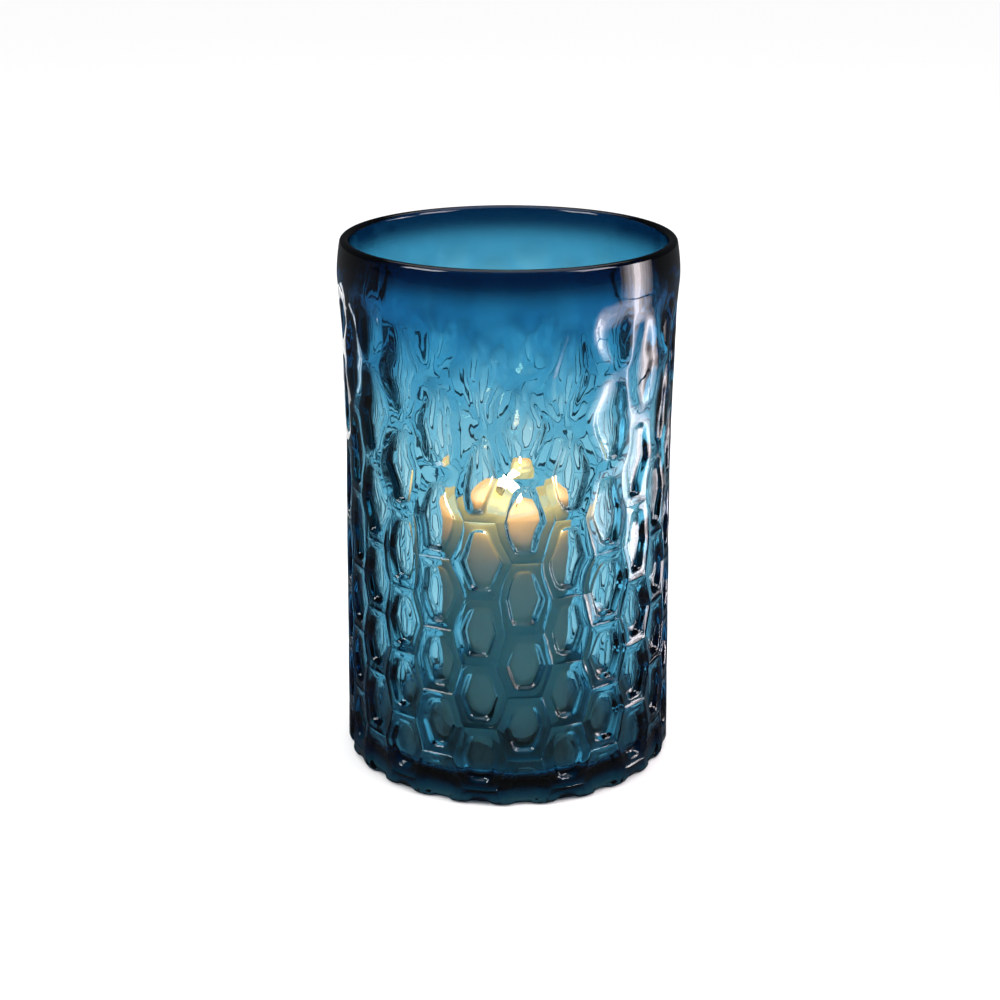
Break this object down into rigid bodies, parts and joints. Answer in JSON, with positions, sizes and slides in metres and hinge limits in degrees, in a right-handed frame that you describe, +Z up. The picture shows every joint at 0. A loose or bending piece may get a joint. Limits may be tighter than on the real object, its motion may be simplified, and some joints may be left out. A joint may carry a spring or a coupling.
{
  "type": "candle hurricane lantern",
  "caption": "Blue hand-blown glass hurricane lantern, a tall open cylinder with honeycomb relief, holding a lit pillar candle.",
  "frame": {"origin": "centre of the flat underside of the glass foot", "axes": "+Z up along the axis of the vessel, towards the open mouth; X and Y level"},
  "size_m": [0.2094, 0.2096, 0.332],
  "materials": {
    "blue_glass": "deep teal blue body-coloured blown glass, fire polished, lighter in the thin parts and almost black through the rim and edges",
    "ivory_wax": "ivory paraffin wax, translucent, satin, lit from within near the top",
    "cotton_wick": "braided cotton, waxed, charred at the burning end",
    "tinned_steel": "thin tinned steel, bright"
  },
  "bodies": {
    "vessel": {"glass_hurricane": "blue_glass"},
    "candle": {"pillar_candle": "ivory_wax", "wick": "cotton_wick", "wick_sustainer": "tinned_steel"}
  },
  "joints": [
    {"name": "candle_lift", "type": "slide", "parent": "vessel", "child": "candle", "axis": [0, 0, 1], "range_m": [0, 0.32]}
  ]
}
